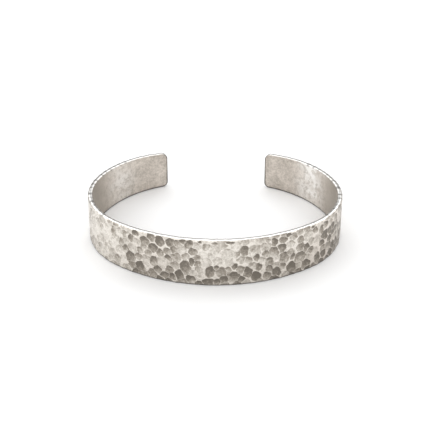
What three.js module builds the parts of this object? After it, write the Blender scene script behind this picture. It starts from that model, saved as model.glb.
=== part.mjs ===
// An oval cuff bracelet: one tapered strip of silver, hammered on its outer face and bent round to an
// open oval. Millimetres, +Z up along the wrist, the opening towards +Y, the lower edge flat at z = 0.
import * as THREE from "three";

// The oval's outline seen along the wrist, outside the metal.
const WIDTH = 62;
const OPENING = 26.1;
const FRONT_RADIUS = 37;
const FRONT_TURN = THREE.MathUtils.degToRad(39);
const SIDE_TURN = THREE.MathUtils.degToRad(107);
const BACK_RADIUS = 27;

// The strip.
const WALL = 1.3;
const BAND_FRONT = 12.2;
const BAND_END = 9.6;
const CORNER_RADIUS = 1.5;
const EDGE_RADIUS = 0.3;

// The hammer and its rows of marks, each mark a shallow dish as deep as it was struck.
const HAMMER_RADIUS = 8;
const MARK_ROWS = 5;
const MARK_PITCH = 2.7;
const MARK_DEPTH = { least: 0.1, most: 0.19 };
const MARK_WANDER = 0.62;

// The mesh: even steps over each span, and finer ones in the roundings at both its ends.
const LENGTH_STEPS = { even: 172, rounded: 4 };
const OUTER_STEPS = { even: 13, rounded: 2 };
const INNER_STEPS = { even: 1, rounded: 2 };

// The side arcs' radius is the one that brings the oval to its width.
const sideRadius = (WIDTH / 2 - FRONT_RADIUS * Math.sin(FRONT_TURN)) / (1 - Math.sin(FRONT_TURN));

// Each arc of one half begins where the last one ends and shares its direction there, so the centres
// of neighbouring arcs are in line with the joint between them.
function halfOvalArcs() {
  const front = new THREE.Vector2(0, 0);
  const towards = (turn) => new THREE.Vector2(Math.sin(turn), -Math.cos(turn));
  const side = front.clone().addScaledVector(towards(FRONT_TURN), FRONT_RADIUS - sideRadius);
  const back = side.clone().addScaledVector(towards(SIDE_TURN), sideRadius - BACK_RADIUS);
  const endTurn = Math.PI - Math.asin((OPENING / 2 - back.x) / BACK_RADIUS);
  return [
    { centre: front, radius: FRONT_RADIUS, from: 0, to: FRONT_TURN },
    { centre: side, radius: sideRadius, from: FRONT_TURN, to: SIDE_TURN },
    { centre: back, radius: BACK_RADIUS, from: SIDE_TURN, to: endTurn },
  ];
}

// The whole outline from the left end round the front to the right end. An arc's turn is measured
// from the front's middle, so it is a quarter circle ahead of the angle from +X.
function ovalOutline() {
  const path = new THREE.CurvePath();
  const quarter = Math.PI / 2;
  const half = halfOvalArcs();
  for (const { centre, radius, from, to } of [...half].reverse()) {
    path.add(new THREE.EllipseCurve(-centre.x, centre.y, radius, radius, -quarter - to, -quarter - from));
  }
  for (const { centre, radius, from, to } of half) {
    path.add(new THREE.EllipseCurve(centre.x, centre.y, radius, radius, from - quarter, to - quarter));
  }
  return path;
}

const outline = ovalOutline();
const stripLength = outline.getLength();

// The band is tallest at the front and narrows ever faster towards both ends.
function bandHeight(along) {
  const fromFront = Math.abs(2 * along / stripLength - 1);
  return BAND_FRONT - (BAND_FRONT - BAND_END) * fromFront ** 2;
}

// How far a rounding of this radius has drawn the surface in at a distance from the edge.
function rounding(distance, radius) {
  const inside = radius - Math.min(Math.max(distance, 0), radius);
  return radius - Math.sqrt(radius ** 2 - inside ** 2);
}

// How many lines a span's steps have, and the place of line number `line` over it.
const lineCount = (steps) => steps.even + 2 * steps.rounded + 1;

function linePlace(line, steps, span, radius) {
  const last = lineCount(steps) - 1;
  if (line < steps.rounded) return radius * (1 - Math.cos((Math.PI / 2) * (line / steps.rounded)));
  if (line > last - steps.rounded) return span - linePlace(last - line, steps, span, radius);
  return radius + (span - 2 * radius) * ((line - steps.rounded) / steps.even);
}

// A repeatable stream of numbers from 0 to 1.
function randomStream(seed) {
  let state = seed;
  return () => {
    state = (state * 16807) % 2147483647;
    return state / 2147483647;
  };
}

// Rows of marks along the strip, every other row moved by half a pitch, each mark a little off its
// place and struck harder or softer.
function hammerMarks() {
  const random = randomStream(41);
  const count = Math.round(stripLength / MARK_PITCH);
  const marks = [];
  for (let row = 0; row < MARK_ROWS; row++) {
    for (let n = 0; n <= count; n++) {
      const along = (n + 0.5 * (row % 2) + MARK_WANDER * (random() - 0.5)) * (stripLength / count);
      const share = (row + 0.5 + MARK_WANDER * (random() - 0.5)) / MARK_ROWS;
      marks.push({
        along,
        up: share * bandHeight(along),
        depth: THREE.MathUtils.lerp(MARK_DEPTH.least, MARK_DEPTH.most, random()),
      });
    }
  }
  return marks;
}

const marks = hammerMarks();

// How deep the hammered face lies at a point: the deepest dish there wins, and where two dishes are
// equally deep they meet in a ridge.
function hammerDepth(along, up) {
  let deepest = 0;
  for (const mark of marks) {
    const apart = (mark.along - along) ** 2 + (mark.up - up) ** 2;
    deepest = Math.max(deepest, mark.depth - apart / (2 * HAMMER_RADIUS));
  }
  return deepest;
}

// The strip's section at a place along it, as a loop of points: up the hammered outer face, over the
// upper edge, down the smooth inner face and back under the lower edge. `depth` is how far a point
// lies inside the outline.
function section(along) {
  const fromEnd = Math.min(along, stripLength - along);
  const low = rounding(fromEnd, CORNER_RADIUS);
  const height = bandHeight(along) - 2 * low;
  const drawnIn = (rise) => rounding(Math.min(rise, height - rise, fromEnd), EDGE_RADIUS);
  const loop = [];
  for (let line = 0; line < lineCount(OUTER_STEPS); line++) {
    const rise = linePlace(line, OUTER_STEPS, height, EDGE_RADIUS);
    loop.push({ depth: drawnIn(rise) + hammerDepth(along, low + rise), up: low + rise });
  }
  for (let line = lineCount(INNER_STEPS) - 1; line >= 0; line--) {
    const rise = linePlace(line, INNER_STEPS, height, EDGE_RADIUS);
    loop.push({ depth: WALL - drawnIn(rise), up: low + rise });
  }
  return loop;
}

// The corners of the cuff's skin, section after section round the outline.
function skinCorners(rings) {
  const corners = [];
  for (let ring = 0; ring < rings; ring++) {
    const along = linePlace(ring, LENGTH_STEPS, stripLength, CORNER_RADIUS);
    const place = outline.getPointAt(along / stripLength);
    const tangent = outline.getTangentAt(along / stripLength);
    for (const { depth, up } of section(along)) {
      corners.push(place.x - tangent.y * depth, place.y + tangent.x * depth, up);
    }
  }
  return corners;
}

// Two triangles between each pair of neighbours on one section and the next.
function wallFaces(rings, size) {
  const faces = [];
  for (let first = 0; first < (rings - 1) * size; first += size) {
    for (let n = 0; n < size; n++) {
      const here = first + n;
      const above = first + ((n + 1) % size);
      faces.push(here, here + size, above, above, here + size, above + size);
    }
  }
  return faces;
}

// The first and last sections filled in, facing opposite ways.
function endFaces(rings, size) {
  const faces = [];
  const last = (rings - 1) * size;
  const flat = section(0).map(({ depth, up }) => new THREE.Vector2(depth, up));
  for (const [a, b, c] of THREE.ShapeUtils.triangulateShape(flat, [])) {
    faces.push(c, b, a);
    faces.push(last + a, last + b, last + c);
  }
  return faces;
}

// The whole skin, moved so that its box is centred over the origin.
function cuffGeometry() {
  const rings = lineCount(LENGTH_STEPS);
  const size = section(0).length;
  const geometry = new THREE.BufferGeometry();
  geometry.setAttribute("position", new THREE.Float32BufferAttribute(skinCorners(rings), 3));
  geometry.setIndex([...wallFaces(rings, size), ...endFaces(rings, size)]);
  geometry.computeBoundingBox();
  const { min, max } = geometry.boundingBox;
  geometry.translate(0, -(min.y + max.y) / 2, 0);
  geometry.computeVertexNormals();
  return geometry;
}

const agedSilver = new THREE.MeshStandardMaterial({ color: 0xb5aea5, roughness: 0.35, metalness: 1 });

const cuff = new THREE.Mesh(cuffGeometry(), agedSilver);
cuff.name = "cuff";

const bracelet = new THREE.Group();
bracelet.add(cuff);

export default bracelet;
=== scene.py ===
import math

import bpy
import numpy as np
from mathutils import Matrix, Vector


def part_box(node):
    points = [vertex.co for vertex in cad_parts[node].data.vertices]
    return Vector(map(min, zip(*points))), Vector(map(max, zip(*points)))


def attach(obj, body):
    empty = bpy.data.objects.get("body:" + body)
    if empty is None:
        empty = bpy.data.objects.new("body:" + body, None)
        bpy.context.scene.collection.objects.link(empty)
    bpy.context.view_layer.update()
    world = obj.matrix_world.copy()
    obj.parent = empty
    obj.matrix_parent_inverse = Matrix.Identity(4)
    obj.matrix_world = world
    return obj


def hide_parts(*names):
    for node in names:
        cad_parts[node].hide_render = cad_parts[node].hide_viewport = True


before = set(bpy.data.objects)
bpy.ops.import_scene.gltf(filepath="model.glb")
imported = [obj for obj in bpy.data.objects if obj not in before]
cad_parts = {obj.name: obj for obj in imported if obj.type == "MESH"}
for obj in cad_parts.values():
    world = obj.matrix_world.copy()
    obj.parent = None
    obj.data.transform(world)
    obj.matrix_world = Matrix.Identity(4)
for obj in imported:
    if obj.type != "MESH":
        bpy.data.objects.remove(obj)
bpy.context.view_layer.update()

# All sizes are in metres. The band's height is the frame's own, and so is the width, which is made
# a whole number of millimetres.
MM = 0.001
CUFF_LOW, CUFF_HIGH = (Vector(corner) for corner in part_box("cuff"))
WIDTH = round((CUFF_HIGH.x - CUFF_LOW.x) / MM) * MM
BAND_FRONT = CUFF_HIGH.z
BAND_END = 9.6 * MM
WALL = 1.3 * MM
OPENING = 26.1 * MM
FRONT_RADIUS, FRONT_TURN = 37 * MM, math.radians(39)
SIDE_TURN = math.radians(107)
BACK_RADIUS = 27 * MM
CORNER_RADIUS = 1.5 * MM
EDGE_RADIUS = 0.3 * MM

# The strip's mesh: even columns along it, so many of which are gathered into each end's corners, and
# rows up each of its faces and round its edges.
COLUMN = 0.19 * MM
CORNER_COLUMNS = 8
OUTER_ROWS, INNER_ROWS = 66, 14
EDGE_ROWS = 4
TOUCHING = 0.001 * MM
SMOOTH_ANGLE = math.radians(50)

# The hammer's marks. The boldest are charted further down. The others are thrown at random until the
# face is full of them, and each is a dish this wide. All marks are then grown by MARK_GROWTH, so
# that they overlap and leave little flat face between them.
MARK_SEED = 41
MARK_THROWS = 30000
MOST_MARKS = 4000
MARK_WIDTH = (1.8 * MM, 3.1 * MM)
MARK_OVERLAP = 0.80
MARK_GROWTH = 1.45 ** 0.5

# A thrown mark is as dark as chance makes it, times what the tarnish makes of it, which at the far left
# includes a lighter patch of painted light. Each pair is the least and how much more there can be.
CHANCE_DARKNESS = (0.17, 0.60)
TARNISH_AND_LIGHT_DARKNESS = (0.35, 1.4)

# The darkest mark is the deepest. The hammer leant up by MARK_TILT, and by OUTWARD_TILT of that away
# from the middle, which makes each mark deeper there and paints it darker there as shade, and its marks'
# outlines waver. PLANISHED is how far the whole face was beaten down.
MARK_DEPTH = (0.09 * MM, 0.14 * MM)
MARK_TILT = 0.4
OUTWARD_TILT = 0.5
MARK_WAVER = 0.08 * MM
PLANISHED = 0.06 * MM

# Two marks meet in a ridge this soft. Where their slopes differ by less than FLAT_SLOPE it counts as
# their difference, or the distance to the ridge would have no limit.
RIDGE_SOFTNESS = 0.003 * MM
FLAT_SLOPE = 0.03

# The face is worked out in this many blocks, from the left end to the right.
FACE_BLOCKS = 400

# The rim is tapped too, in shallow marks that run across it.
RIM_SEED = 7
RIM_PITCH = 1.9 * MM
RIM_HALF_WIDTH = 0.6 * RIM_PITCH
RIM_DEPTH = (0.03 * MM, 0.09 * MM)
RIM_REACH = 0.7 * MM

# How heavy the tarnish is everywhere, and where it lies heavier or lighter, in millimetres, with how
# much. The first row, lighter at the far left, is painted light: that side catches more light.
PLAIN_TARNISH = 0.4
#    along   up  width height amount
TARNISH_AND_SIDE_LIGHT = [
    (-28.0, 6.0, 13.0, 11.0, -0.32),
    (-15.5, 7.0, 12.0, 10.0,  0.18),
    (-1.0,  8.5, 10.0,  4.5, -0.22),
    (6.5,   7.5,  8.0,  3.5, -0.15),
    (10.0,  2.5, 22.0,  4.0,  0.20),
    (22.0,  9.0,  7.0,  5.0, -0.20),
    (33.0,  5.0, 15.0, 12.0,  0.48),
]

# The boldest marks, charted, in millimetres. Along is from the middle of the front, to the
# right where positive, up is from the lower edge, and dark runs from 0 to 1.
#    along    up  width height  dark
BOLD_MARKS = [
    (-25.4,  9.4,  1.6,  2.9,  0.45),
    (-23.1,  7.2,  1.6,  2.4,  0.50),
    (-24.6,  2.3,  1.9,  2.4,  0.50),
    (-22.1,  9.9,  1.2,  2.2,  0.50),
    (-20.3,  9.4,  1.4,  2.7,  0.75),
    (-20.5,  4.2,  2.5,  3.2,  0.80),
    (-19.0, 11.2,  2.0,  1.4,  0.85),
    (-17.8,  2.3,  2.5,  2.8,  0.90),
    (-17.8,  6.9,  1.9,  1.7,  0.60),
    (-15.6,  6.8,  1.8,  1.7,  0.50),
    (-14.2,  4.9,  2.1,  2.5,  0.70),
    (-14.6,  1.5,  2.3,  2.2,  0.65),
    (-12.6, 10.7,  2.3,  2.6,  0.80),
    (-12.6,  7.4,  1.6,  2.3,  0.60),
    (-11.5,  1.6,  2.3,  2.0,  0.70),
    (-10.1, 10.8,  2.1,  2.2,  0.80),
    (-9.6,   1.6,  1.9,  2.0,  0.80),
    (-9.2,   8.9,  1.7,  2.3,  0.60),
    (-8.0,   2.3,  2.1,  2.8,  0.95),
    (-7.1,  11.4,  1.9,  1.2,  0.75),
    (-6.5,   4.6,  2.4,  3.6,  0.80),
    (-5.6,  10.9,  2.0,  2.2,  0.75),
    (-5.3,   1.6,  2.0,  2.0,  0.85),
    (-5.0,   6.2,  1.3,  2.0,  0.85),
    (-4.7,   9.1,  1.9,  2.0,  0.75),
    (-3.5,   4.3,  1.5,  2.0,  0.50),
    (-1.2,   1.1,  2.6,  1.6,  1.00),
    (-0.8,   3.8,  2.0,  2.9,  0.90),
    (0.7,    1.1,  1.5,  1.6,  0.95),
    (0.7,    4.9,  1.3,  1.4,  0.75),
    (2.4,    1.7,  1.9,  2.2,  0.95),
    (3.3,    4.3,  1.5,  1.7,  0.55),
    (4.6,    2.3,  3.0,  2.5,  0.75),
    (4.9,    5.1,  1.3,  1.6,  0.85),
    (6.9,    9.1,  2.2,  2.7,  0.75),
    (7.9,    3.3,  2.1,  2.7,  0.90),
    (10.0,   7.0,  1.4,  2.1,  0.80),
    (9.9,    1.9,  2.2,  2.5,  1.00),
    (10.5,   4.4,  1.5,  2.1,  0.85),
    (12.2,   7.7,  1.7,  2.0,  0.65),
    (12.6,   1.6,  1.9,  2.2,  0.70),
    (13.2,   5.2,  2.1,  2.4,  0.70),
    (14.3,  10.5,  1.5,  2.3,  0.85),
    (14.9,   2.1,  2.1,  2.8,  0.95),
    (16.1,   8.3,  2.1,  2.4,  0.70),
    (16.7,   5.4,  2.6,  3.0,  0.60),
    (18.9,   2.3,  2.5,  2.9,  0.90),
    (19.1,   5.2,  1.5,  1.7,  0.65),
    (19.2,  10.6,  1.9,  1.9,  0.50),
    (21.3,   9.1,  1.9,  1.9,  0.50),
    (22.9,   2.0,  2.6,  2.4,  0.70),
    (24.2,   5.2,  2.2,  1.9,  0.65),
    (26.5,   2.1,  1.7,  3.0,  0.75),
    (27.7,   9.5,  1.5,  2.4,  0.75),
    (-3.1,  11.7,  1.1,  0.7,  1.00),
    (0.3,   11.4,  1.5,  0.9,  0.70),
    (3.6,   11.5,  2.4,  0.8,  0.95),
    (12.6,  11.1,  1.3,  1.1,  0.60),
    (17.9,  11.3,  1.5,  1.1,  1.00),
    (24.8,  11.3,  1.0,  0.9,  0.85),
]


# ---- The oval -------------------------------------------------------------------------------------

def half_oval():
    """The right half's three arcs, each as its centre, its radius and the turns it runs between."""
    side_radius = (WIDTH / 2 - FRONT_RADIUS * math.sin(FRONT_TURN)) / (1 - math.sin(FRONT_TURN))

    def towards(turn):
        return Vector((math.sin(turn), -math.cos(turn)))

    front = Vector((0, 0))
    side = front + towards(FRONT_TURN) * (FRONT_RADIUS - side_radius)
    back = side + towards(SIDE_TURN) * (side_radius - BACK_RADIUS)
    end_turn = math.pi - math.asin((OPENING / 2 - back.x) / BACK_RADIUS)
    return [
        (front, FRONT_RADIUS, 0, FRONT_TURN),
        (side, side_radius, FRONT_TURN, SIDE_TURN),
        (back, BACK_RADIUS, SIDE_TURN, end_turn),
    ]


HALF_LENGTH = sum(radius * (stop - start) for _, radius, start, stop in half_oval())
STRIP_LENGTH = 2 * HALF_LENGTH


def oval_point(distance):
    """The outline's point at a distance from the middle of the front, to the right if positive."""
    left = abs(distance)
    for centre, radius, start, stop in half_oval():
        turn = start + left / radius
        if turn <= stop:
            break
        left -= radius * (stop - start)
    turn = min(turn, stop)
    x = centre.x + radius * math.sin(turn)
    return math.copysign(x, distance), centre.y - radius * math.cos(turn)


def oval_guide(points):
    """The curve that the strip is bent along, from the left end round the front to the right end."""
    ring = [oval_point(-HALF_LENGTH + STRIP_LENGTH * n / (points - 1)) for n in range(points)]
    shift = -(min(y for _, y in ring) + max(y for _, y in ring)) / 2
    curve = bpy.data.curves.new("oval_guide", "CURVE")
    curve.dimensions = "3D"
    curve.twist_mode = "Z_UP"
    spline = curve.splines.new("POLY")
    spline.points.add(points - 1)
    for point, (x, y) in zip(spline.points, ring):
        point.co = (x, y + shift, 0, 1)
    guide = bpy.data.objects.new("oval_guide", curve)
    bpy.context.collection.objects.link(guide)
    return guide


# ---- The strip, shaped flat ---------------------------------------------------------------------

def deselect_all():
    for other in bpy.context.selected_objects:
        other.select_set(False)


def only(piece):
    deselect_all()
    piece.select_set(True)
    bpy.context.view_layer.objects.active = piece


def select_parts(piece, edges=None, faces=None):
    """In edit mode, selects the edges or faces that a test on them picks out, and nothing else."""
    bpy.ops.mesh.select_mode(type="EDGE" if edges else "FACE")
    bpy.ops.mesh.select_all(action="DESELECT")
    bpy.ops.object.mode_set(mode="OBJECT")
    mesh = piece.data
    if edges:
        for edge in mesh.edges:
            edge.select = edges(*(mesh.vertices[v].co for v in edge.vertices))
    if faces:
        for face in mesh.polygons:
            face.select = faces(face)
    bpy.ops.object.mode_set(mode="EDIT")


def cut_rows(piece, depth, rows):
    """Cuts the upright wall at this depth into rows."""
    def upright(a, b):
        on_wall = abs(a.y - depth) < TOUCHING and abs(b.y - depth) < TOUCHING
        return on_wall and abs(a.x - b.x) < TOUCHING and abs(a.z - b.z) > BAND_FRONT / 2
    select_parts(piece, edges=upright)
    bpy.ops.mesh.subdivide(number_cuts=rows - 1)


def flat_strip():
    """The blank: one column of a bar with rounded long edges, its walls cut into rows, repeated along
    the strip. The outer face is at depth y = 0 and the inner one at y = WALL."""
    columns = round(STRIP_LENGTH / COLUMN)
    step = STRIP_LENGTH / columns
    deselect_all()
    bpy.ops.mesh.primitive_cube_add(size=1, location=(step / 2, WALL / 2, BAND_FRONT / 2))
    strip = bpy.context.active_object
    strip.name = "hammered_cuff"
    strip.scale = (step, WALL, BAND_FRONT)
    bpy.ops.object.transform_apply(location=True, rotation=True, scale=True)
    bpy.ops.object.mode_set(mode="EDIT")
    select_parts(strip, edges=lambda a, b: abs(a.x - b.x) > step / 2)
    bpy.ops.mesh.bevel(offset=EDGE_RADIUS, segments=EDGE_ROWS, affect="EDGES", profile=0.5)
    cut_rows(strip, 0, OUTER_ROWS)
    cut_rows(strip, WALL, INNER_ROWS)
    select_parts(strip, faces=lambda face: abs(face.normal.x) > 0.9)
    bpy.ops.mesh.delete(type="ONLY_FACE")
    bpy.ops.object.mode_set(mode="OBJECT")
    array = strip.modifiers.new("columns", "ARRAY")
    array.count = columns
    array.use_relative_offset = False
    array.use_constant_offset = True
    array.constant_offset_displace = (step, 0, 0)
    array.use_merge_vertices = True
    array.merge_threshold = step / 10
    only(strip)
    bpy.ops.object.modifier_apply(modifier="columns")
    bpy.ops.object.mode_set(mode="EDIT")
    bpy.ops.mesh.select_all(action="SELECT")
    bpy.ops.mesh.remove_doubles(threshold=step / 10)
    bpy.ops.mesh.select_all(action="SELECT")
    bpy.ops.mesh.fill_holes(sides=0)
    bpy.ops.mesh.select_all(action="SELECT")
    bpy.ops.mesh.normals_make_consistent(inside=False)
    bpy.ops.object.mode_set(mode="OBJECT")
    return strip


def read_points(mesh):
    flat = np.empty(len(mesh.vertices) * 3, np.float32)
    mesh.vertices.foreach_get("co", flat)
    return flat.reshape(-1, 3).astype(float)


def write_points(mesh, points):
    mesh.vertices.foreach_set("co", points.astype(np.float32).ravel())
    mesh.update()


def write_attribute(mesh, name, values):
    layer = mesh.attributes.new(name, "FLOAT", "POINT")
    layer.data.foreach_set("value", values.astype(np.float32))


def rounding(distance, radius):
    """How far a rounding of this radius draws a surface in at a distance from the edge."""
    inside = radius - np.clip(distance, 0, radius)
    return radius - np.sqrt(radius ** 2 - inside ** 2)


def band_height(along):
    return BAND_FRONT - (BAND_FRONT - BAND_END) * np.abs(2 * along / STRIP_LENGTH - 1) ** 2


def file_to_outline(points):
    """Gathers the end columns into the corners, rounds the corners, tapers the band and softens the
    two end faces."""
    along, depth, rise = points.T
    gather = CORNER_COLUMNS * COLUMN
    fold = np.minimum(along, STRIP_LENGTH - along)
    eased = CORNER_RADIUS * (1 - np.cos(np.clip(fold / gather, 0, 1) * math.pi / 2))
    spread = CORNER_RADIUS + (fold - gather) * (HALF_LENGTH - CORNER_RADIUS) / (HALF_LENGTH - gather)
    from_end = np.where(fold < gather, eased, spread)
    along = np.where(along < HALF_LENGTH, from_end, STRIP_LENGTH - from_end)
    corner = rounding(from_end, CORNER_RADIUS)
    rise = corner + rise / BAND_FRONT * (band_height(along) - 2 * corner)
    thin = 1 - 2 * rounding(from_end, EDGE_RADIUS) / WALL
    depth = WALL / 2 + (depth - WALL / 2) * thin
    return np.column_stack([along, depth, rise])


# ---- The hammering ------------------------------------------------------------------------------

def random_stream(seed, multiplier=16807, modulus=2 ** 31 - 1):
    """A repeatable stream of numbers from 0 to 1."""
    state = seed
    while True:
        state = state * multiplier % modulus
        yield state / modulus


def tarnish_and_side_light(along, up):
    """How heavy the tarnish is at points of the face, from 0 to 1, lighter at the far left as painted
    light.
    """
    heavy = np.full(np.shape(along), PLAIN_TARNISH)
    for centre, height, width, tall, amount in TARNISH_AND_SIDE_LIGHT:
        across = (along - HALF_LENGTH - centre * MM) / (width * MM / 2)
        upward = (up - height * MM) / (tall * MM / 2)
        heavy = heavy + amount * np.exp(-0.5 * (across ** 2 + upward ** 2))
    return np.clip(heavy, 0, 1)


def bold_marks():
    """The charted marks, each as its place along and up the strip, its half width and half height
    and how dark it is."""
    return [(HALF_LENGTH + along * MM, up * MM, width * MM / 2, height * MM / 2, dark)
            for along, up, width, height, dark in BOLD_MARKS]


def hammer_marks():
    """The charted marks, then marks thrown at random over the face, each kept where it only just
    overlaps the ones before. A column more says how deep each one is."""
    draw = random_stream(MARK_SEED)
    kept = np.zeros((MOST_MARKS, 5))
    bold = bold_marks()
    kept[:len(bold)] = bold
    count = len(bold)
    for _ in range(MARK_THROWS):
        along = next(draw) * STRIP_LENGTH
        up = next(draw) * BAND_FRONT
        radius = (MARK_WIDTH[0] + (MARK_WIDTH[1] - MARK_WIDTH[0]) * next(draw) ** 2) / 2
        chance = next(draw)
        near = kept[:count]
        reach = MARK_OVERLAP * (radius + (near[:, 2] + near[:, 3]) / 2)
        apart = (near[:, 0] - along) ** 2 + (near[:, 1] - up) ** 2
        if up > band_height(along) + radius / 2 or np.any(apart < reach ** 2):
            continue
        dark = CHANCE_DARKNESS[0] + CHANCE_DARKNESS[1] * chance
        # Marks at the far left come out lighter here: painted light.
        dark = dark * (TARNISH_AND_LIGHT_DARKNESS[0] + TARNISH_AND_LIGHT_DARKNESS[1] * tarnish_and_side_light(along, up))
        kept[count] = (along, up, radius, radius, min(dark, 1))
        count += 1
    marks = kept[:count]
    marks[:, 2:4] *= MARK_GROWTH
    depth = MARK_DEPTH[0] + (MARK_DEPTH[1] - MARK_DEPTH[0]) * marks[:, 4]
    return np.column_stack([marks, depth])


def wave(a, b, main, sway, cross, quick, slant):
    """A wave that runs along a and sways with b, with a quicker and lower one over it."""
    return np.sin(main * a + sway * np.sin(cross * b)) + 0.6 * np.sin(quick * a + slant * b)


def wavered(points):
    """The points' places along and up the face, shifted a little so that no mark is a true oval."""
    along, up = points[:, 0] / MM, points[:, 2] / MM
    sideways = wave(up, along, main=2.9, sway=1.7, cross=2.3, quick=5.3, slant=-1.9)
    upwards = wave(along, up, main=3.1, sway=1.6, cross=2.1, quick=4.7, slant=2.2)
    return points[:, 0] + MARK_WAVER * sideways, points[:, 2] + MARK_WAVER * upwards


def dishes(along, up, marks):
    """For each point and each mark: how deep the mark is there, its slopes along and up the face, and
    how much its lean adds, to its depth and to the painted shade on its colour. The flat face counts as
    one mark more, with no depth and no slope."""
    centre, middle, half_width, half_height, _, deep = marks
    across = (along[:, None] - centre) / half_width
    upward = (up[:, None] - middle) / half_height
    outward = across * np.sign(centre - HALF_LENGTH)
    lean_and_shade = MARK_TILT * np.clip(upward + OUTWARD_TILT * outward, -1, 1)
    flat = np.zeros(len(along))
    dish = np.column_stack([deep * (1 - across ** 2 - upward ** 2) * (1 + lean_and_shade), flat])
    slope_along = np.column_stack([2 * deep * across / half_width, flat])
    slope_up = np.column_stack([2 * deep * upward / half_height, flat])
    return dish, slope_along, slope_up, lean_and_shade


def hammer(points, marks):
    """For each point: how deep the face lies, how far it is from a ridge, and how dark its mark is
    there. The hammer leant up and away from the middle, so each mark is deepest there, and its colour is
    painted darker there as shade."""
    reach = 2 * MARK_WIDTH[1]
    along, up = wavered(points)
    depth, clear, dark = (np.zeros(len(points)) for _ in range(3))
    for block in np.array_split(np.argsort(points[:, 0]), FACE_BLOCKS):
        low, high = points[block, 0].min() - reach, points[block, 0].max() + reach
        near = marks[(marks[:, 0] > low) & (marks[:, 0] < high)].T
        dish, slope_along, slope_up, lean_and_shade = dishes(along[block], up[block], near)
        row = np.arange(len(block))
        second, first = np.argsort(dish, axis=1)[:, -2:].T
        deepest = dish[row, first]
        steep = np.hypot(slope_along[row, first] - slope_along[row, second],
                         slope_up[row, first] - slope_up[row, second])
        soft = np.exp((dish - deepest[:, None]) / RIDGE_SOFTNESS)
        total = soft.sum(axis=1)
        depth[block] = deepest + RIDGE_SOFTNESS * np.log(total)
        clear[block] = (deepest - dish[row, second]) / np.maximum(steep, FLAT_SLOPE)
        # Painted shade: each mark's darkness grows towards its top and towards its side away from the
        # middle.
        dark[block] = (soft[:, :-1] * near[4] * (1 + lean_and_shade)).sum(axis=1) / total
    return depth, clear, dark


def tap_rim(points, from_end):
    """How far a row of shallow marks lowers the rim, fading out below it and towards the ends, and
    how near the middle of its mark each point is, from 0 to 1."""
    draw = random_stream(RIM_SEED)
    count = round(STRIP_LENGTH / RIM_PITCH)
    centre = np.array([(n + 0.5 * next(draw)) * STRIP_LENGTH / count for n in range(count + 1)])
    deep = np.array([RIM_DEPTH[0] + (RIM_DEPTH[1] - RIM_DEPTH[0]) * next(draw) for _ in centre])
    apart = (points[:, None, 0] - centre) / RIM_HALF_WIDTH
    middle = np.max(1 - apart ** 2, axis=1).clip(0)
    tapped = np.max(deep * (1 - apart ** 2), axis=1).clip(0)
    below = band_height(points[:, 0]) - points[:, 2]
    fade = (1 - np.clip(below / RIM_REACH, 0, 1)) ** 2
    return tapped * fade * np.clip(from_end / CORNER_RADIUS - 1, 0, 1), middle


def strike(strip):
    """Files the strip to its outline, sinks the hammer's marks, which fade through the wall, and
    taps the rim. What the finish needs to know of each point is kept with it."""
    mesh = strip.data
    points = file_to_outline(read_points(mesh))
    along, inset, up = points.T.copy()
    depth, clear, dark = hammer(points, hammer_marks())
    inward = np.clip(inset / WALL, 0, 1)
    height = band_height(along)
    from_end = np.minimum(along, STRIP_LENGTH - along)
    to_edge = np.minimum(np.minimum(up, height - up) - rounding(from_end, CORNER_RADIUS), from_end)
    tapped, bead = tap_rim(points, from_end)
    kept = {
        "along": (along - HALF_LENGTH) / MM,
        "inward": inward,
        "rise": up / height,
        "to_edge": to_edge / MM,
        "to_end": from_end / MM,
        "bead": bead,
        "clear": clear / MM,
        "dark": dark,
        "haze_and_side_light": tarnish_and_side_light(along, up),
    }
    for name, values in kept.items():
        write_attribute(mesh, name, values)
    points[:, 1] += (PLANISHED + depth) * (1 - inward)
    points[:, 2] -= tapped
    write_points(mesh, points)


def bend(strip):
    """Bends the finished strip round the oval."""
    guide = oval_guide(round(STRIP_LENGTH / COLUMN) + 1)
    modifier = strip.modifiers.new("oval", "CURVE")
    modifier.object = guide
    modifier.deform_axis = "POS_X"
    only(strip)
    bpy.ops.object.modifier_apply(modifier="oval")
    bpy.data.objects.remove(guide)


def make_cuff():
    strip = flat_strip()
    strike(strip)
    bend(strip)
    only(strip)
    bpy.ops.object.shade_smooth_by_angle(angle=SMOOTH_ANGLE)
    return strip


# ---- Materials ----------------------------------------------------------------------------------

class Socket:
    """A value that varies over the surface. Arithmetic on it adds Math nodes."""

    def __init__(self, finish, output):
        self.finish = finish
        self.output = output

    def math(self, operation, *values, clamp=False):
        node = self.finish.node("ShaderNodeMath", {"operation": operation, "use_clamp": clamp},
                                dict(enumerate(values)))
        return Socket(self.finish, node.outputs[0])

    def __add__(self, other):
        return self.math("ADD", self, other)

    def __sub__(self, other):
        return self.math("SUBTRACT", self, other)

    def __rsub__(self, other):
        return self.math("SUBTRACT", other, self)

    def __mul__(self, other):
        return self.math("MULTIPLY", self, other)

    __radd__ = __add__
    __rmul__ = __mul__

    def absolute(self):
        return self.math("ABSOLUTE", self)

    def clamped(self):
        return self.math("ADD", self, 0, clamp=True)

    def above(self, low, high):
        """0 at low and under, 1 at high and over, smooth between."""
        node = self.finish.node("ShaderNodeMapRange", {"interpolation_type": "SMOOTHSTEP"},
                                {"Value": self, "From Min": low, "From Max": high})
        return Socket(self.finish, node.outputs["Result"])

    def below(self, low, high):
        """1 at low and under, 0 at high and over, smooth between."""
        return 1 - self.above(low, high)


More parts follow.
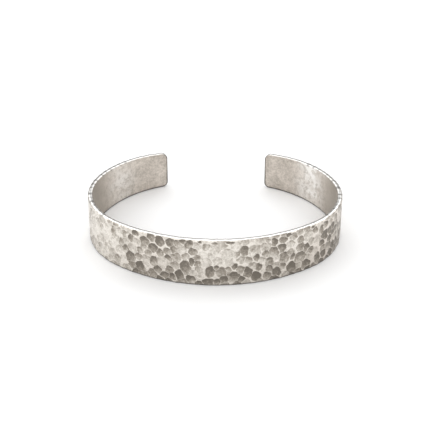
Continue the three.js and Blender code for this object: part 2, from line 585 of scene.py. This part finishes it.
class Finish:
    """A material and the nodes that it is made from."""

    def __init__(self, name):
        self.material = bpy.data.materials.new(name)
        self.material.use_nodes = True
        self.tree = self.material.node_tree
        self.shader = self.tree.nodes["Principled BSDF"]

    def node(self, kind, settings=(), inputs=()):
        """Any node: its type, its settings, which are set first, then its sockets' values or links."""
        made = self.tree.nodes.new(kind)
        for name, value in dict(settings).items():
            setattr(made, name, value)
        for name, value in dict(inputs).items():
            self.feed(made.inputs[name], value)
        return made

    def feed(self, socket, value):
        if isinstance(value, Socket):
            self.tree.links.new(value.output, socket)
        else:
            socket.default_value = value

    def attribute(self, name):
        return Socket(self, self.node("ShaderNodeAttribute", {"attribute_name": name}).outputs["Fac"])

    def place(self):
        return Socket(self, self.node("ShaderNodeTexCoord").outputs["Object"])

    def noise(self, scale, detail, roughness=0.5):
        """Cloudy noise, with about this many blotches to the metre."""
        made = self.node("ShaderNodeTexNoise", {}, {
            "Vector": self.place(), "Scale": scale, "Detail": detail, "Roughness": roughness})
        return Socket(self, made.outputs["Fac"])

    def cells(self, scale):
        """Distance from the nearest of many scattered points: little dimples."""
        made = self.node("ShaderNodeTexVoronoi", {"feature": "F1"},
                         {"Vector": self.place(), "Scale": scale})
        return Socket(self, made.outputs["Distance"])

    def mix(self, share, a, b):
        """Colour a where share is 0 and colour b where it is 1."""
        made = self.node("ShaderNodeMix", {"data_type": "RGBA"}, {0: share, 6: a, 7: b})
        return Socket(self, made.outputs[2])

    def blend(self, share, a, b):
        """The number a where share is 0 and b where it is 1."""
        made = self.node("ShaderNodeMix", {"data_type": "FLOAT"}, {0: share, 2: a, 3: b})
        return Socket(self, made.outputs[0])


BRIGHT_SILVER = (0.84, 0.83, 0.81, 1)
PALE_SILVER = (0.76, 0.722, 0.664, 1)
SATIN_SILVER = (0.69, 0.632, 0.572, 1)
# The colour of a painted highlight on the inside.
HIGHLIGHT_SILVER = (0.93, 0.91, 0.88, 1)
GREY_SILVER = (0.355, 0.319, 0.276, 1)
DARK_PATINA = (0.192, 0.171, 0.145, 1)
# The colour of the painted shade along the rim's arrises and ends.
EDGE_GREY = (0.13, 0.122, 0.112, 1)
FLOOR_TONES = (0.94, 0.94, 0.94, 1), (0.96, 0.96, 0.96, 1)

# How rough each surface is, and how much its patina or its mottling adds.
RIM_ROUGHNESS = 0.2
HAMMERED_ROUGHNESS, PATINA_ROUGHNESS = 0.27, 0.15
SATIN_ROUGHNESS, MOTTLE_ROUGHNESS = 0.40, 0.12
FLOOR_ROUGHNESS = 0.9
BUMP_DEPTH = 0.06 * MM


class AgedSilver(Finish):
    """The cuff's finish. It is placed by what strike() keeps with each point, where lengths are in
    millimetres, and broken up by noises."""

    def __init__(self):
        super().__init__("aged_silver")
        self.along = self.attribute("along")
        self.from_front = self.along.absolute()
        self.inward = self.attribute("inward")
        self.rise = self.attribute("rise")
        self.to_edge = self.attribute("to_edge")
        self.to_end = self.attribute("to_end")
        self.mottle = self.noise(900, detail=4, roughness=0.6)
        self.cloud = self.noise(260, detail=3)
        self.fine = self.noise(2200, detail=3, roughness=0.65)
        self.dimples = self.cells(1000)

    def patina(self):
        """How dark the hammered face is: the tarnish has settled in the dishes, not on the ridges. The
        marks' darkness also holds painted shade at each dish's top and outer side.
        """
        cloud, fine = self.cloud - 0.5, self.fine - 0.5
        dish = (self.attribute("clear") - cloud * 0.2).above(0.01, 0.15)
        spots = cloud * 0.8 + (self.mottle - 0.5) * 0.8 + fine * 0.7
        specks = (0.4 - self.dimples) * 0.2 + fine * 0.35
        return (dish * (self.attribute("dark") + spots) + specks).clamped()

    def hammered(self, patina):
        """The hammered face: pale ridges round dishes that go from grey to dark. The ridges are paler
        where the tarnish is light, which at the far left is painted light.
        """
        haze_and_side_light = self.attribute("haze_and_side_light").above(0.2, 1.0)
        ridge = self.mix(haze_and_side_light, PALE_SILVER, SATIN_SILVER)
        face = self.mix((patina * 1.7).clamped(), ridge, GREY_SILVER)
        return self.mix(patina.above(0.5, 1.0), face, DARK_PATINA)

    def satin(self):
        """The inside: satin, with a painted highlight where the ends begin, brighter on the right,
        duller in the side turns.
        """
        specks = self.fine.above(0.4, 0.62) * 0.35
        specks = specks + self.cloud.above(0.38, 0.62) * 0.25 + self.mottle.above(0.42, 0.6) * 0.2
        # Painted highlight: a bright band on each side of the inside, where the side lamps shine,
        # stronger on the right.
        painted_highlight = self.from_front.above(52, 60) * self.from_front.below(60, 68)
        painted_highlight = painted_highlight * (0.55 + self.along.above(0, 10) * 0.45)
        patchy = (0.45 + self.cloud.above(0.42, 0.6) * 0.55) * (1 - self.mottle.above(0.5, 0.58) * 0.6)
        dull = self.from_front.above(30, 43) * self.from_front.below(47, 59)
        dull = dull * (1.05 - self.fine.above(0.35, 0.65) * 0.25)
        satin = self.mix(specks, SATIN_SILVER, GREY_SILVER)
        satin = self.mix(painted_highlight * patchy, satin, HIGHLIGHT_SILVER)
        return self.mix(dull, satin, GREY_SILVER)

    def edge_grey(self):
        """How grey the polished rim is: painted shade in lines along its arrises, in front on the inner
        one and behind on the outer one, round the ends, under the lower edge, and between the taps of
        the sides."""
        edge = self.to_edge.below(0.15, 0.35)
        lower = self.rise.below(0.3, 0.6)
        behind = self.from_front.above(34, 50)
        inner_line = edge * self.inward.above(0.42, 0.54) * (1 - behind * 0.8)
        outer_line = edge * self.inward.below(0.48, 0.6) * behind
        under_line = self.to_edge.below(0.25, 0.55) * lower
        arris = (self.inward - 0.5).absolute().above(0.2, 0.3)
        end_line = self.to_end.below(0.15, 0.5) * (0.3 + arris * 0.5)
        corner = (self.rise - 0.5).absolute().above(0.33, 0.42)
        corner_line = edge * corner * self.to_end.below(0.4, 1.3)
        beads = edge * (1 - lower) * self.from_front.above(20, 32) * self.to_end.above(8, 16)
        beads = beads * self.attribute("bead").below(0.25, 0.8) * self.cloud.above(0.3, 0.55)
        lines = (inner_line + outer_line) * 0.85 + under_line * 0.8 + end_line + corner_line * 0.65
        return (lines + beads * 0.6).clamped()


def aged_silver():
    finish = AgedSilver()
    outside = finish.inward.below(0.05, 0.25)
    inside = finish.inward.above(0.75, 0.95)
    patina = finish.patina()

    colour = finish.mix(outside, BRIGHT_SILVER, finish.hammered(patina))
    colour = finish.mix(inside, colour, finish.satin())
    # Painted shade: grey lines along the rim's arrises, ends and lower edge.
    colour = finish.mix(finish.edge_grey(), colour, EDGE_GREY)
    finish.feed(finish.shader.inputs["Base Color"], colour)

    rough = finish.blend(outside, RIM_ROUGHNESS, HAMMERED_ROUGHNESS + patina * PATINA_ROUGHNESS)
    rough = finish.blend(inside, rough, SATIN_ROUGHNESS + finish.mottle * MOTTLE_ROUGHNESS)
    finish.feed(finish.shader.inputs["Roughness"], rough)
    finish.shader.inputs["Metallic"].default_value = 1.0

    grain = finish.noise(4200, detail=2)
    height = grain * 0.05 + finish.mottle * 0.12 + finish.dimples * outside * 0.8
    bump = finish.node("ShaderNodeBump", {}, {"Strength": 1.0, "Distance": BUMP_DEPTH, "Height": height})
    finish.feed(finish.shader.inputs["Normal"], Socket(finish, bump.outputs["Normal"]))
    return finish.material


def pale_floor():
    finish = Finish("pale_floor")
    colour = finish.mix(finish.noise(30, detail=2), *FLOOR_TONES)
    finish.feed(finish.shader.inputs["Base Color"], colour)
    finish.shader.inputs["Roughness"].default_value = FLOOR_ROUGHNESS
    return finish.material


# ---- Camera, floor and light ----------------------------------------------------------------------

CAMERA_AZIMUTH = math.radians(0.6)
CAMERA_ELEVATION = math.radians(30.66)
CAMERA_DISTANCE = 4.86 * WIDTH
CAMERA_LENS = 102.4
CAMERA_ROLL = math.radians(0.23)
CAMERA_TARGET = Vector((0, 0.7 * MM, 0.36 * BAND_FRONT))
CAMERA_CLIP = 0.01
SENSOR = 36

FLOOR_SIZE = 3
SKY_STRENGTH = 0.82

# The lamps: azimuth and elevation in degrees, distance, size across and up, and power in watts.
SOFTBOXES = {
    "back_top": (180, 48, 0.9, (1.4, 0.9), 4.2),
    "front_low": (-10, 20, 0.9, (1.0, 0.6), 2.0),
    "left_side": (-80, 22, 0.6, (0.6, 0.5), 1.1),
    "right_side": (80, 22, 0.6, (0.6, 0.5), 0.7),
}


def direction(azimuth, elevation):
    """The unit vector towards an azimuth, 0 in front of the cuff and a quarter turn to its right."""
    flat = math.cos(elevation)
    return Vector((math.sin(azimuth) * flat, -math.cos(azimuth) * flat, math.sin(elevation)))


def place_camera():
    away = direction(CAMERA_AZIMUTH, CAMERA_ELEVATION)
    camera = bpy.data.cameras.new("camera")
    camera.sensor_width = SENSOR
    camera.lens = CAMERA_LENS
    camera.clip_start = CAMERA_CLIP
    holder = bpy.data.objects.new("camera", camera)
    bpy.context.collection.objects.link(holder)
    turn = (-away).to_track_quat("-Z", "Y") @ Matrix.Rotation(CAMERA_ROLL, 3, "Z").to_quaternion()
    holder.rotation_mode = "QUATERNION"
    holder.rotation_quaternion = turn
    holder.location = CAMERA_TARGET + away * CAMERA_DISTANCE
    bpy.context.scene.camera = holder


def lay_floor():
    deselect_all()
    bpy.ops.mesh.primitive_plane_add(size=FLOOR_SIZE, location=(0, 0, 0))
    floor = bpy.context.active_object
    floor.name = "floor"
    floor.data.materials.append(pale_floor())


def softbox(name, azimuth, elevation, distance, size, power):
    """A rectangular lamp that is aimed at the cuff and that the camera doesn't see."""
    light = bpy.data.lights.new(name, "AREA")
    light.shape = "RECTANGLE"
    light.size, light.size_y = size
    light.energy = power
    holder = bpy.data.objects.new(name, light)
    holder.visible_camera = False
    bpy.context.collection.objects.link(holder)
    out = direction(math.radians(azimuth), math.radians(elevation))
    holder.location = out * distance
    holder.rotation_mode = "QUATERNION"
    holder.rotation_quaternion = (-out).to_track_quat("-Z", "Y")


def light_the_studio():
    world = bpy.data.worlds.new("studio")
    bpy.context.scene.world = world
    world.use_nodes = True
    background = world.node_tree.nodes["Background"].inputs
    background["Color"].default_value = (1, 1, 1, 1)
    background["Strength"].default_value = SKY_STRENGTH
    for name, lamp in SOFTBOXES.items():
        softbox(name, *lamp)
    bpy.context.scene.view_settings.view_transform = "Standard"


place_camera()
lay_floor()
light_the_studio()
cuff = make_cuff()
cuff.data.materials.append(aged_silver())
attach(cuff, "root")
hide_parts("cuff")
